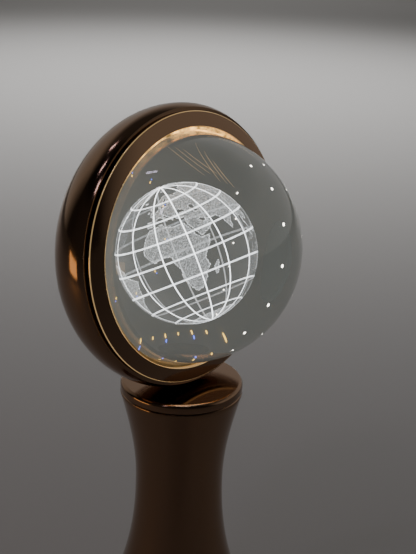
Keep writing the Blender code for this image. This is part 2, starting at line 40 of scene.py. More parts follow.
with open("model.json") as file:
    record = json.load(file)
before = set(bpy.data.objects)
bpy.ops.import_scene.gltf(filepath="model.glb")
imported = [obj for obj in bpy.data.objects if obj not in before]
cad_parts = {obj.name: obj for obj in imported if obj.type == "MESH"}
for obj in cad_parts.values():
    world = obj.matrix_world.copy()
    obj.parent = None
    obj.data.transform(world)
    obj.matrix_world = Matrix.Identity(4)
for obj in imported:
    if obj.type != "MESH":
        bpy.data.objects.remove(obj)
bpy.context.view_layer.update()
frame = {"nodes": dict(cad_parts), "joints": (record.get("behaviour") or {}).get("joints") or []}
NODES = frame["nodes"]
JOINTS = {joint["name"]: joint for joint in frame["joints"]}

MM = 0.001
HEAD_AXIS = Vector(JOINTS["button_press"]["axis"]).normalized()
TILT_AXIS_AT = Vector(JOINTS["head_tilt"]["pos_m"])
HEAD_TILT = math.asin(HEAD_AXIS.z)
EDGE = 0.01 * MM
ROUND = 128
ROUND_SMALL = 48
SMOOTH_ANGLE = math.radians(30)

# The button and the charging socket on the back, along the head's axis.
BUTTON_RADIUS = 6.0 * MM
BUTTON_FLANGE = 7.0 * MM
BUTTON_FRONT_AT = -34.6 * MM
BUTTON_FLANGE_AT = -35.0 * MM
BUTTON_BACK_AT = -38.0 * MM
BUTTON_EDGE = 0.5 * MM
BUTTON_DISH = 0.35 * MM
BUTTON_HOLE = 6.35 * MM
HOLES_AT = -36 * MM
SOCKET_DROP = 16 * MM
SOCKET_HOLE = (9.74 * MM, 4.06 * MM, 10 * MM)
SOCKET_HOLE_ROUND = 1.9 * MM

# The bezel's rim and the skirt behind it.
RIM_BACK_AT = -1.2 * MM
SKIRT_OUTER = 45.2 * MM
SKIRT_INNER = 44.2 * MM
SKIRT_END_AT = -5 * MM

# Glints: thickness, and their places as shares of the LEDs' ring.
GLINT_FLAT = 0.08
LOW_ROW_START = 0.15
LOW_ROW_STEP = 0.09
INNER_SHARE = 0.36
FAN_START_SHARE = 0.60
FAN_SPREAD_SHARE = 0.18
FAN_START_DEG = 26.0
FAN_SPREAD_DEG = 18.0


# Rough outlines of the lands, as longitude and latitude in degrees.
LANDS = {
    "Africa": [
        (-6, 35), (0, 36), (10, 37), (11, 34), (20, 31), (32, 31), (34, 27), (37, 21), (39, 15), (43, 11.5),
        (51, 12), (48, 5), (42, -2), (39, -7), (41, -15), (35, -20), (35, -24), (32, -29), (27, -34),
        (20, -35), (18, -32), (15, -27), (12, -17), (13, -9), (9, -1), (9, 4), (4, 6), (-4, 5), (-8, 4),
        (-13, 8), (-17, 14), (-16, 21), (-13, 27), (-9, 32)],
    "Madagascar": [(49.5, -12.5), (50, -16), (47, -25), (44, -24.5), (44.5, -17)],
    "Eurasia": [
        (-9, 37), (-9, 43), (-2, 43.5), (-1, 46), (-5, 48.5), (0, 49.5), (4, 52), (8, 54), (8, 57),
        (11, 56), (12, 54), (20, 55), (24, 58), (24, 59.5), (30, 60), (23, 60), (22, 63), (25, 65),
        (22, 66), (17, 61), (18, 59), (14, 55.5), (11, 59), (5, 58.5), (5, 62), (12, 66), (18, 69.5),
        (26, 71), (33, 69), (41, 67), (40, 64.5), (44, 66), (44, 68.5), (54, 68.5), (68, 69), (70, 73),
        (87, 75), (104, 77.5), (113, 74), (130, 71.5), (140, 72.5), (160, 69.5), (180, 69), (180, 65),
        (170, 60), (163, 59), (157, 51), (156, 57), (163, 61.5), (143, 59), (136, 54.5), (141, 52),
        (140, 48), (130, 42), (127.5, 39.5), (129, 36), (126, 35), (126, 38), (118, 39), (122, 37),
        (120, 34), (122, 31), (120, 26), (115, 22.5), (106, 18.5), (109, 13), (105, 9), (102, 12.5),
        (99.5, 9.5), (103.5, 2), (98.5, 8), (98, 15), (94, 16), (91, 22.5), (87, 21), (80, 15), (80, 11),
        (77.5, 8), (73, 17), (72.5, 21), (67, 25), (57, 25.5), (51, 29), (48, 30), (50, 26.5),
        (51.5, 25), (56, 26), (59.5, 22.5), (55, 17.5), (45, 13), (43, 13), (39, 21), (35, 28),
        (34.5, 31.5), (36, 36), (31, 36.5), (27, 37), (26, 40), (33, 42), (41, 41.5), (37, 45), (33, 46),
        (30, 46), (28, 43), (27, 41), (24, 40.5), (23, 37), (20, 40), (19, 42), (13, 45.5), (13, 43.5),
        (18, 40.5), (16, 38), (12, 42), (9, 44.3), (4, 43.3), (3, 41.8), (-0.5, 39), (-2, 37)],
    "Britain": [(-5, 50), (1, 51.3), (0, 53.5), (-3, 56), (-2, 57.5), (-5, 58.5), (-6, 56.5), (-3, 54.5)],
    "Ireland": [(-10, 52), (-6, 52.2), (-6, 54.5), (-9, 54.5)],
    "Iceland": [(-24, 65), (-18, 63.5), (-14, 65), (-17, 66.4), (-22, 66.3)],
    "Svalbard": [(12, 79), (25, 77.5), (25, 80.5), (12, 80)],
    "Greenland": [
        (-44, 60), (-52, 66), (-56, 73), (-68, 76.5), (-60, 82), (-32, 83.3), (-18, 80), (-20, 73),
        (-25, 70), (-38, 66)],
    "North America": [
        (-168, 66), (-156, 71), (-128, 70), (-110, 68), (-85, 69.5), (-82, 64), (-94, 60), (-92, 57),
        (-82, 55), (-79, 52), (-77, 57), (-77, 62), (-65, 59.5), (-56, 52.5), (-66, 50), (-60, 46),
        (-70, 43), (-74, 40), (-76, 35), (-81, 31), (-80, 26), (-83, 30), (-90, 29.5), (-97, 27),
        (-97, 20), (-91, 19), (-87, 21), (-88, 16), (-83, 14.5), (-83, 10), (-78, 9), (-81, 7.5),
        (-88, 13), (-96, 15.5), (-105, 19.5), (-110, 23), (-117, 33), (-123, 38), (-124, 46),
        (-134, 58), (-148, 61), (-158, 57), (-165, 60)],
    "South America": [
        (-78, 8), (-72, 12), (-62, 10.5), (-51, 4.5), (-50, 0), (-35, -6), (-39, -14), (-41, -22),
        (-48, -26), (-53, -33), (-58, -37), (-65, -42), (-69, -54.5), (-74, -51), (-73, -40),
        (-70, -20), (-76, -14), (-81, -5), (-80, 1)],
    "Australia": [
        (114, -22), (122, -18), (130, -12), (136, -12), (137, -16.5), (141, -17), (142.5, -11),
        (146, -19), (153, -26), (150, -37), (144, -38.5), (138, -34), (131, -31.5), (124, -33.5),
        (115, -34)],
    "Antarctica": [
        (-180, -78), (-60, -74), (0, -70), (90, -67), (160, -70), (180, -78), (180, -90), (-180, -90)],
    "Japan": [(131, 33), (140, 36), (145, 43.5), (141, 45), (139, 38), (133, 35.5)],
    "Sumatra": [(95, 5.5), (104, -3), (105.5, -6), (100, -1)],
    "Borneo": [(109, 1), (116, 7), (119, 5), (117, -3), (111, -3)],
    "New Guinea": [(131, -1), (141, -3), (150, -10), (138, -8)],
}
INLAND_SEA = [(47, 45), (51, 47), (53, 45), (53, 41), (54, 37), (50, 37.5), (49, 41)]


# ---------------------------------------------------------------- settings

class StandSettings(bpy.types.PropertyGroup):
    """Sizes of the column, its foot and the seat."""
    seat_radius: bpy.props.FloatProperty(
        name="Seat radius", description="Radius of the polished seat", default=22.3 * MM, unit="LENGTH")
    seat_crown: bpy.props.FloatProperty(
        name="Seat crown", description="Rise of the seat's top at its centre", default=0.35 * MM,
        unit="LENGTH")
    seat_rim: bpy.props.FloatProperty(
        name="Seat rim", description="Rounding of the seat's rim", default=1.5 * MM, unit="LENGTH")
    neck_z: bpy.props.FloatProperty(
        name="Neck height", description="Where the column starts to narrow", default=116.0 * MM,
        unit="LENGTH")
    waist_z: bpy.props.FloatProperty(
        name="Waist height", description="Height of the narrowest line", default=80.0 * MM, unit="LENGTH")
    waist_radius: bpy.props.FloatProperty(
        name="Waist radius", description="Radius at the narrowest line", default=16.4 * MM, unit="LENGTH")
    foot_z: bpy.props.FloatProperty(
        name="Foot edge", description="Height of the foot's upright edge", default=3.0 * MM, unit="LENGTH")
    foot_radius: bpy.props.FloatProperty(
        name="Foot radius", description="Radius of the foot", default=40.0 * MM, unit="LENGTH")
    flare_power: bpy.props.FloatProperty(
        name="Flare", description="How late the trumpet opens", default=2.2)
    wall: bpy.props.FloatProperty(
        name="Wall", description="Thickness of the plated shells", default=1.8 * MM, unit="LENGTH")


class HeadSettings(bpy.types.PropertyGroup):
    """Sizes of the head, along and round its own axis."""
    bezel_radius: bpy.props.FloatProperty(
        name="Bezel radius", description="Outer edge of the bezel", default=46.75 * MM, unit="LENGTH")
    lip_radius: bpy.props.FloatProperty(
        name="Lip radius", description="Inner edge of the bezel", default=41.5 * MM, unit="LENGTH")
    lip_rise: bpy.props.FloatProperty(
        name="Lip rise", description="How far the bezel rises to its inner edge", default=1.3 * MM,
        unit="LENGTH")
    shell_radius: bpy.props.FloatProperty(
        name="Shell radius", description="Radius at the shell's widest line", default=49.4 * MM,
        unit="LENGTH")
    widest: bpy.props.FloatProperty(
        name="Widest line", description="How far it lies behind the bezel", default=6.1 * MM, unit="LENGTH")
    front_arc: bpy.props.FloatProperty(
        name="Front arc", description="Side of the shell in front of its widest line", default=8.5 * MM,
        unit="LENGTH")
    side_arc: bpy.props.FloatProperty(
        name="Side arc", description="Side of the shell behind its widest line", default=22.25 * MM,
        unit="LENGTH")
    back_arc: bpy.props.FloatProperty(
        name="Back arc", description="Dome of the shell's back", default=60.0 * MM, unit="LENGTH")
    turn: bpy.props.FloatProperty(
        name="Turn", description="Where the side arc runs into the back arc", default=math.radians(50.0),
        unit="ROTATION")
    ball_radius: bpy.props.FloatProperty(
        name="Ball radius", description="Radius of the crystal ball", default=40.0 * MM, unit="LENGTH")
    ball_back: bpy.props.FloatProperty(
        name="Ball centre", description="How far it lies behind the bezel", default=3.7 * MM,
        unit="LENGTH")
    ball_cut: bpy.props.FloatProperty(
        name="Ball cut", description="From the ball's centre to its flat", default=17.5 * MM,
        unit="LENGTH")
    pad_radius: bpy.props.FloatProperty(
        name="White back", description="Whitened back of the ball's flat", default=34.3 * MM,
        unit="LENGTH")


class GlobeSettings(bpy.types.PropertyGroup):
    """The globe engraved inside the ball."""
    radius: bpy.props.FloatProperty(
        name="Globe radius", description="Radius of the engraved globe", default=16.3 * MM, unit="LENGTH")
    drop: bpy.props.FloatProperty(
        name="Drop", description="How far the globe sits below the ball's centre", default=1.4 * MM,
        unit="LENGTH")
    facing: bpy.props.FloatProperty(
        name="Facing", description="Where the globe faces, round the ball from its front",
        default=math.radians(-46.5), unit="ROTATION")
    rise: bpy.props.FloatProperty(
        name="Rise", description="How far up the globe faces", default=math.radians(20.0), unit="ROTATION")
    lean: bpy.props.FloatProperty(
        name="Lean", description="Lean of the poles, seen from where the globe faces",
        default=math.radians(23.0), unit="ROTATION")
    nod: bpy.props.FloatProperty(
        name="Nod", description="How far the north pole leans towards where the globe faces",
        default=math.radians(5.0), unit="ROTATION")
    middle: bpy.props.FloatProperty(
        name="Middle", description="Longitude in the middle of the side it faces",
        default=math.radians(24.0), unit="ROTATION")
    meridians: bpy.props.IntProperty(
        name="Meridians", description="Lines from pole to pole", default=12)
    parallels: bpy.props.FloatProperty(
        name="Parallels", description="Spacing of the parallels", default=math.radians(20.0),
        unit="ROTATION")
    meridian_width: bpy.props.FloatProperty(
        name="Meridian width", description="Width of a meridian's line", default=0.30 * MM, unit="LENGTH")
    parallel_width: bpy.props.FloatProperty(
        name="Parallel width", description="Width of a parallel's line", default=0.42 * MM, unit="LENGTH")
    glow: bpy.props.FloatProperty(
        name="Glow", description="Brightness of the engraved lines", default=4.4)


class GlintSettings(bpy.types.PropertyGroup):
    """Images of the LEDs' light in the glass, placed from the LEDs' own ring."""
    rim_share: bpy.props.FloatProperty(
        name="Rim share", description="Radius of the rim of glints, as a share of the LEDs' ring",
        default=0.85, subtype="FACTOR")
    rim_count: bpy.props.IntProperty(
        name="Rim count", description="Glints round the rim for each LED", default=4)
    arc_share: bpy.props.FloatProperty(
        name="Arc share", description="Radius of the arc of sparkles, as a share of the LEDs' ring",
        default=0.68, subtype="FACTOR")
    arc_step: bpy.props.FloatProperty(
        name="Arc step", description="Spacing of the sparkles round the arc", default=math.radians(20.0),
        unit="ROTATION")
    arc_count: bpy.props.IntProperty(
        name="Arc count", description="Sparkles in the arc, on the side the globe turns from", default=6)
    low_share: bpy.props.FloatProperty(
        name="Low share", description="Height of the low row, as a share of the LEDs' ring", default=0.57,
        subtype="FACTOR")
    low_count: bpy.props.IntProperty(
        name="Low count", description="Glints in the low row", default=7)
    fan_count: bpy.props.IntProperty(
        name="Fan count", description="Hairlines in the fan above the globe", default=6)
    fan_length: bpy.props.FloatProperty(
        name="Fan length", description="Length of the longest hairline", default=12.0 * MM, unit="LENGTH")
    blue_shift: bpy.props.FloatProperty(
        name="Blue shift", description="How far the blue image lies outside the gold one",
        default=0.6 * MM, unit="LENGTH")


class FinishSettings(bpy.types.PropertyGroup):
    """Colours of the finishes."""
    bronze: bpy.props.FloatVectorProperty(
        name="Bronze", description="Dark rose bronze plating", default=(0.42, 0.31, 0.205),
        subtype="COLOR", size=3)
    gold: bpy.props.FloatVectorProperty(
        name="Gold", description="Gold reflector", default=(0.95, 0.66, 0.30), subtype="COLOR", size=3)
    floor: bpy.props.FloatVectorProperty(
        name="Floor", description="Pale floor", default=(0.46, 0.45, 0.44), subtype="COLOR", size=3)


def settings(name):
    """One of this file's property groups."""
    return getattr(bpy.context.scene, name)


# ---------------------------------------------------------------- modelling

def deselect():
    """Leave edit mode, with nothing selected."""
    if bpy.context.object and bpy.context.object.mode != "OBJECT":
        bpy.ops.object.mode_set(mode="OBJECT")
    bpy.ops.object.select_all(action="DESELECT")


def arc(centre_r, centre_s, radius, start, end, steps):
    """Points round part of a circle, with the angles in radians."""
    points = []
    for i in range(steps + 1):
        angle = start + (end - start) * i / steps
        points.append((centre_r + radius * math.cos(angle), centre_s + radius * math.sin(angle)))
    return points


def spaced(first, last, count):
    """Evenly spaced values, both ends included."""
    return [first + (last - first) * i / (count - 1) for i in range(count)]


def drawn(name, points):
    """A line drawn by extruding one vertex from point to point."""
    deselect()
    bpy.ops.mesh.primitive_plane_add(size=MM)
    obj = bpy.context.object
    obj.name = name
    obj.data.name = name
    bpy.ops.object.mode_set(mode="EDIT")
    bpy.ops.mesh.select_all(action="SELECT")
    bpy.ops.mesh.merge(type="CENTER")
    bpy.ops.transform.translate(value=points[0])
    for last, point in zip(points, points[1:]):
        bpy.ops.mesh.extrude_region_move(TRANSFORM_OT_translate={"value": Vector(point) - Vector(last)})
    return obj


def turned(name, profile, steps=ROUND, closed=False):
    """A profile of (radius, height), drawn in the XZ plane and spun round Z."""
    line = profile + profile[:1] if closed else profile
    obj = drawn(name, [(r, 0.0, s) for r, s in line])
    bpy.ops.mesh.select_all(action="SELECT")
    bpy.ops.mesh.spin(steps=steps, angle=2 * math.pi, center=(0, 0, 0), axis=(0, 0, 1))
    bpy.ops.mesh.select_all(action="SELECT")
    bpy.ops.mesh.remove_doubles(threshold=1e-6)
    bpy.ops.mesh.normals_make_consistent(inside=False)
    bpy.ops.object.mode_set(mode="OBJECT")
    bpy.ops.object.shade_smooth_by_angle(angle=SMOOTH_ANGLE)
    return obj


def cut(obj, cutter):
    """Take one solid out of another with a Boolean, and remove the cutter."""
    deselect()
    bpy.context.view_layer.objects.active = obj
    obj.select_set(True)
    modifier = obj.modifiers.new("cut", "BOOLEAN")
    modifier.operation = "DIFFERENCE"
    modifier.object = cutter
    bpy.ops.object.modifier_apply(modifier=modifier.name)
    bpy.data.objects.remove(cutter)


def head_matrix():
    """From the head's own frame, its axis along +Z from the bezel's plane, to the world."""
    head = settings("globe_head")
    turn = Euler((math.pi / 2 - HEAD_TILT, 0, 0)).to_matrix().to_4x4()
    arc_centre = Vector((0, -(head.shell_radius - head.side_arc), -head.widest))
    return Matrix.Translation(TILT_AXIS_AT) @ turn @ Matrix.Translation(-arc_centre)


def place_by(obj, matrix):
    """Move a finished mesh by a matrix, and apply its place."""
    deselect()
    obj.select_set(True)
    bpy.context.view_layer.objects.active = obj
    obj.matrix_world = matrix @ obj.matrix_world
    bpy.ops.object.transform_apply(location=True, rotation=True, scale=True)


def place_in_head(obj):
    """Move a finished mesh from the head's own frame to its place."""
    place_by(obj, head_matrix())


def finish_piece(obj, material, body, slot, *nodes):
    """Give a piece its material and its body, and hide the nodes it stands for. The slot is not used."""
    if material is not None:
        obj.data.materials.clear()
        obj.data.materials.append(material)
    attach(obj, body)
    if nodes:
        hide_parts(*nodes)
    return obj


# ---------------------------------------------------------------- finishes

def new_material(name, **values):
    """A Principled material, its own sockets set by name."""
    material = bpy.data.materials.new(name)
    material.use_nodes = True
    shader = material.node_tree.nodes["Principled BSDF"]
    for key, value in values.items():
        socket = shader.inputs[key.replace("_", " ").title().replace("Ior", "IOR")]
        socket.default_value = (*value, 1.0) if isinstance(value, tuple) and len(value) == 3 else value
    return material, shader


def add(material, kind, **values):
    """A node in a material's tree, its inputs set by name."""
    node = material.node_tree.nodes.new(kind)
    for key, value in values.items():
        node.inputs[key.replace("_", " ").title()].default_value = value
    return node


def join(material, source, target):
    """Link two sockets."""
    material.node_tree.links.new(source, target)


def object_place(material):
    """The Object coordinate output of a new Texture Coordinate node."""
    return add(material, "ShaderNodeTexCoord").outputs["Object"]


def ramp(material, source, stops):
    """A colour ramp with grey stops, (position, value)."""
    node = add(material, "ShaderNodeValToRGB")
    while len(node.color_ramp.elements) < len(stops):
        node.color_ramp.elements.new(0.5)
    for element, (position, value) in zip(node.color_ramp.elements, stops):
        element.position = position
        element.color = (value, value, value, 1.0)
    join(material, source, node.inputs["Fac"])
    return node.outputs["Color"]


def bronze_plating():
    """Mirror plating: a dark rose bronze with faint wipe marks and specks of dust."""
    material, shader = new_material(
        "bronze_plating", base_color=tuple(settings("globe_finish").bronze), metallic=1.0)
    place = object_place(material)
    wipes = add(material, "ShaderNodeTexNoise", scale=90.0, detail=5.0, roughness=0.6)
    join(material, place, wipes.inputs["Vector"])
    join(material, ramp(material, wipes.outputs["Fac"], [(0.35, 0.025), (0.75, 0.07)]),
         shader.inputs["Roughness"])
    return material


def painted_highlight_edge():
    """The bezel's polished edges, with a painted highlight: a lighter gold and a faint gold glow stand in
    for the light that leaves the glass.
    """
    return new_material(
        "painted_highlight_edge", base_color=(0.95, 0.68, 0.36), metallic=1.0, roughness=0.12,
        emission_color=(1.0, 0.66, 0.30), emission_strength=0.35)[0]


def lit_gold():
    """The reflector's gold, with patches of the LEDs' light in it, brightest along the top."""
    material, shader = new_material(
        "gold_reflector", base_color=tuple(settings("globe_finish").gold), metallic=1.0, roughness=0.16,
        emission_color=(1.0, 0.52, 0.12))
    place = object_place(material)
    patches = add(material, "ShaderNodeTexNoise", scale=260.0, detail=3.0, roughness=0.6)
    join(material, place, patches.inputs["Vector"])
    height = material.node_tree.nodes.new("ShaderNodeSeparateXYZ")
    join(material, place, height.inputs["Vector"])
    top = add(material, "ShaderNodeMapRange", from_min=198 * MM, from_max=213 * MM, to_min=0.10, to_max=5.0)
    join(material, height.outputs["Z"], top.inputs["Value"])
    glow = material.node_tree.nodes.new("ShaderNodeMath")
    glow.operation = "MULTIPLY"
    join(material, top.outputs["Result"], glow.inputs[0])
    join(material, ramp(material, patches.outputs["Fac"], [(0.38, 0.05), (0.66, 1.0)]), glow.inputs[1])
    join(material, glow.outputs["Value"], shader.inputs["Emission Strength"])
    return material


def crystal():
    """Clear polished crystal."""
    return new_material(
        "crystal", base_color=(0.97, 0.985, 0.98), roughness=0.0, ior=1.517, transmission_weight=1.0)[0]


def lit_white(name, grey, glow):
    """White plastic in the light of the LEDs."""
    return new_material(
        name, base_color=(grey, grey, 0.97 * grey), roughness=0.6, emission_color=(0.96, 1.0, 0.93),
        emission_strength=glow)[0]


def engraving(name, strength, cover):
    """Laser-engraved dots that catch the light: white, glowing, and open between the dots."""
    material, shader = new_material(
        name, base_color=(0.5, 0.52, 0.54), roughness=0.6, emission_color=(0.93, 0.97, 1.0),
        emission_strength=strength)
    place = object_place(material)
    centre, face = globe_centre_and_face()
    # Painted shade: the glow is full on the side the globe faces and fades to 0.12 of its strength towards
    # its far side.
    depth = material.node_tree.nodes.new("ShaderNodeVectorMath")
    depth.operation = "DOT_PRODUCT"
    depth.inputs[1].default_value = face
    join(material, place, depth.inputs[0])
    light = add(material, "ShaderNodeMapRange", from_min=centre.dot(face) - 5 * MM,
                from_max=centre.dot(face) + 2 * MM, to_min=0.12 * strength, to_max=strength)
    join(material, depth.outputs["Value"], light.inputs["Value"])
    join(material, light.outputs["Result"], shader.inputs["Emission Strength"])
    dots = add(material, "ShaderNodeTexNoise", scale=2600.0, detail=2.0, roughness=0.7)
    join(material, place, dots.inputs["Vector"])
    join(material, ramp(material, dots.outputs["Fac"], [(0.40, cover[0]), (0.60, cover[1])]),
         shader.inputs["Alpha"])
    return material


# Finish of the fittings: node names, colour, metallic, grain scale, and least and most roughness.
FITTINGS = {
    "foam": (("foot_pad",), (0.035, 0.035, 0.037), 0.0, 1400.0, (0.80, 0.98)),
    "black": (("base_plate", "magnet_holder", "magnet_cradle", "tact_switch", "led_connector"),
              (0.03, 0.03, 0.03), 0.0, 900.0, (0.42, 0.60)),
    "steel": (("base_screw", "plate_screw", "carrier_screw", "weight_bolt", "usb_socket", "bearing_plate",
               "swivel_pin", "retaining_clip"), (0.62, 0.62, 0.63), 1.0, 700.0, (0.22, 0.38)),
    "iron": (("base_weight",), (0.10, 0.10, 0.11), 0.6, 500.0, (0.55, 0.80)),
    "brass": (("stem_bush",), (0.75, 0.55, 0.25), 1.0, 700.0, (0.20, 0.34)),
    "nylon": (("friction_washer", "thrust_washer"), (0.80, 0.78, 0.70), 0.0, 900.0, (0.40, 0.55)),
    "nickel": (("head_magnet", "seat_magnet"), (0.70, 0.68, 0.64), 1.0, 700.0, (0.12, 0.24)),
    "bond": (("bond_pad",), (0.80, 0.82, 0.82), 0.0, 600.0, (0.50, 0.70)),
    "board": (("driver_board", "switch_board"), (0.03, 0.20, 0.09), 0.0, 1200.0, (0.35, 0.50)),
    "pouch": (("battery",), (0.70, 0.71, 0.73), 1.0, 300.0, (0.28, 0.45)),
    "insulation": (("battery_lead", "switch_lead"), (0.50, 0.02, 0.02), 0.0, 900.0, (0.40, 0.55)),
}


def fitting(name, colour, metallic, grain, rough):
    """A plain finish with a fine grain in its roughness and its surface."""
    material, shader = new_material(name, base_color=colour, metallic=metallic)
    place = object_place(material)
    noise = add(material, "ShaderNodeTexNoise", scale=grain, detail=4.0, roughness=0.55)
    join(material, place, noise.inputs["Vector"])
    join(material, ramp(material, noise.outputs["Fac"], [(0.3, rough[0]), (0.7, rough[1])]),
         shader.inputs["Roughness"])
    bump = add(material, "ShaderNodeBump", strength=0.15, distance=0.05 * MM)
    join(material, noise.outputs["Fac"], bump.inputs["Height"])
    join(material, bump.outputs["Normal"], shader.inputs["Normal"])
    return material


def dress(node, material):
    """Give a CAD node a material."""
    node.data.materials.clear()
    node.data.materials.append(material)


# ---------------------------------------------------------------- pieces

class GLOBE_OT_column(bpy.types.Operator):
    """Turn the plated column, from its neck down to the trumpet foot"""
    bl_idname = "globe.column"
    bl_label = "Column"

    def execute(self, context):
        stand = settings("globe_stand")
        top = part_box("column_shell")[1].z
        neck_span = stand.neck_z - stand.waist_z
        flare_span = stand.waist_z - stand.foot_z

        def neck(z):
            turn = 0.5 * math.pi * (z - stand.waist_z) / neck_span
            return stand.waist_radius + (stand.seat_radius - stand.waist_radius) * (1 - math.cos(turn))

        def flare(z):
            share = (stand.waist_z - z) / flare_span
            return stand.waist_radius + (stand.foot_radius - stand.waist_radius) * share ** stand.flare_power

        outer = [(stand.seat_radius - 0.4 * MM, top), (stand.seat_radius - 0.12 * MM, top - 0.25 * MM)]
        outer += [(neck(z), z) for z in spaced(stand.neck_z, stand.waist_z, 30)]
        outer += [(flare(z), z) for z in spaced(stand.waist_z, stand.foot_z + 0.8 * MM, 44)[1:]]
        edge = 0.8 * MM
        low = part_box("column_shell")[0].z
        outer += arc(stand.foot_radius - edge, low + 2 * edge, edge, math.radians(30), 0, 4)
        outer += arc(stand.foot_radius - edge, low + edge, edge, 0, -math.pi / 2, 6)
        inner = [(stand.foot_radius - stand.wall, low), (stand.foot_radius - stand.wall, stand.foot_z)]
        inner += [(flare(z) - stand.wall, z) for z in spaced(stand.foot_z, stand.waist_z, 16)[1:]]
        inner += [(neck(z) - stand.wall, z) for z in spaced(stand.waist_z, stand.neck_z - 2 * MM, 12)[1:]]
        inner += [(stand.seat_radius - 2 * MM, top)]
        column = turned("column", outer + inner, closed=True)
        finish_piece(column, bpy.data.materials["bronze_plating"], "stand", "bronze_plating",
                     "column_shell")
        return {"FINISHED"}


class GLOBE_OT_seat(bpy.types.Operator):
    """Turn the polished seat cap that the head stands on"""
    bl_idname = "globe.seat"
    bl_label = "Seat"

    def execute(self, context):
        stand = settings("globe_stand")
        low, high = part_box("seat_cap")
        edge_z = high.z - stand.seat_crown
        flat = stand.seat_radius - stand.seat_rim
        profile = [(flat * t, edge_z + stand.seat_crown * (1 - t * t)) for t in spaced(0, 1, 16)]
        profile += arc(flat, edge_z - stand.seat_rim, stand.seat_rim, math.pi / 2, 0, 14)[1:]
        lip = 0.3 * MM
        profile += arc(stand.seat_radius - lip, low.z + lip, lip, 0, -math.pi / 2, 5)
        profile += [(stand.seat_radius - stand.wall, low.z), (stand.seat_radius - stand.wall, low.z + MM)]
        profile += [(0, low.z + MM)]
        seat = turned("seat", profile)
        finish_piece(seat, bpy.data.materials["bronze_plating"], "seat", "bronze_plating", "seat_cap")
        return {"FINISHED"}


def shell_line(inset, counts):
    """The shell's side from its front edge to the axis, at a depth below the outer skin."""
    head = settings("globe_head")
    seam = -1.5 * MM
    front = head.front_arc - inset
    step = head.back_arc - head.side_arc
    side_r = head.shell_radius - head.side_arc
    back_r = side_r - step * math.cos(head.turn)
    back_s = -head.widest + step * math.sin(head.turn)
    start = math.asin((seam + head.widest) / front)
    points = arc(head.shell_radius - head.front_arc, -head.widest, front, start, 0, counts[0])
    points += arc(side_r, -head.widest, head.side_arc - inset, 0, -head.turn, counts[1])[1:]
    points += arc(back_r, back_s, head.back_arc - inset, -head.turn, -math.pi / 2, counts[2])[1:]
    return points + [(0, back_s - head.back_arc + inset)]


class GLOBE_OT_shell(bpy.types.Operator):
    """Turn the domed rear shell and cut its button and socket holes"""
    bl_idname = "globe.shell"
    bl_label = "Rear shell"

    def execute(self, context):
        stand = settings("globe_stand")
        outer = shell_line(0.0, (12, 30, 24))
        inner = shell_line(stand.wall, (6, 14, 12))
        shell = turned("shell", inner[::-1] + outer)
        deselect()
        bpy.ops.mesh.primitive_cylinder_add(vertices=64, radius=BUTTON_HOLE, depth=8 * MM,
                                            location=(0, 0, HOLES_AT))
        cut(shell, bpy.context.object)
        deselect()
        bpy.ops.mesh.primitive_cube_add(size=1.0, location=(0, -SOCKET_DROP, HOLES_AT))
        slot = bpy.context.object
        slot.scale = SOCKET_HOLE
        bpy.ops.object.transform_apply(location=False, rotation=False, scale=True)
        bevel = slot.modifiers.new("round", "BEVEL")
        bevel.width = SOCKET_HOLE_ROUND
        bevel.segments = 6
        bpy.ops.object.modifier_apply(modifier=bevel.name)
        cut(shell, slot)
        place_in_head(shell)
        bpy.ops.object.shade_smooth_by_angle(angle=SMOOTH_ANGLE)
        finish_piece(shell, bpy.data.materials["bronze_plating"], "head", "bronze_plated_abs", "rear_shell")
        return {"FINISHED"}


class GLOBE_OT_bezel(bpy.types.Operator):
    """Turn the front bezel, a shallow cone that rises to the glass"""
    bl_idname = "globe.bezel"
    bl_label = "Bezel"

    def execute(self, context):
        head = settings("globe_head")
        lean = math.atan2(head.lip_rise, head.bezel_radius - head.lip_radius)
        edge = 0.45 * MM
        lip = 0.25 * MM
        up = math.pi / 2
        outer = arc(head.lip_radius + lip, head.lip_rise - lip, lip, math.pi, up - lean, 6)
        outer += arc(head.bezel_radius - edge, -edge + 0.1 * MM, edge, up - lean, 0, 8)
        outer += [(head.bezel_radius, RIM_BACK_AT), (SKIRT_OUTER, RIM_BACK_AT), (SKIRT_OUTER, SKIRT_END_AT)]
        outer += [(SKIRT_INNER, SKIRT_END_AT), (SKIRT_INNER, -1.5 * MM), (head.lip_radius, -0.2 * MM)]
        bezel = turned("bezel", outer, closed=True)
        bezel.data.materials.append(bpy.data.materials["bronze_plating"])
        bezel.data.materials.append(painted_highlight_edge())
        # Painted highlight: the faces on the outer edge and on the inner lip take the glowing edge finish.
        for face in bezel.data.polygons:
            radius = face.center.xy.length
            on_edge = radius > head.bezel_radius - 0.5 * edge and face.center.z > -1.5 * edge
            on_lip = radius < head.lip_radius + lip and face.center.z > 0
            if on_edge or on_lip:
                face.material_index = 1
        place_in_head(bezel)
        finish_piece(bezel, None, "head", "bronze_plated_abs", "front_bezel")
        return {"FINISHED"}


class GLOBE_OT_ball(bpy.types.Operator):
    """Turn the crystal ball, with its flat cut back"""
    bl_idname = "globe.ball"
    bl_label = "Crystal ball"

    def execute(self, context):
        head = settings("globe_head")
        arris = 0.3 * MM
        end = -math.asin((head.ball_cut - arris) / head.ball_radius)
        profile = arc(0, -head.ball_back, head.ball_radius, math.pi / 2, end, 72)
        profile[0] = (0, profile[0][1])
        flat = math.sqrt(head.ball_radius ** 2 - head.ball_cut ** 2) - arris
        flat_at = -head.ball_back - head.ball_cut
        profile += [(flat, flat_at), (head.pad_radius, flat_at), (0, flat_at)]
        ball = turned("ball", profile)
        ball.data.materials.append(crystal())
        ball.data.materials.append(lit_white("bonded_white", 0.12, 0.10))
        for face in ball.data.polygons:
            reach = max(ball.data.vertices[v].co.xy.length for v in face.vertices)
            if face.normal.z < -0.999 and reach < head.pad_radius + EDGE:
                face.material_index = 1
        place_in_head(ball)
        finish_piece(ball, None, "head", "crystal", "crystal_ball")
        return {"FINISHED"}


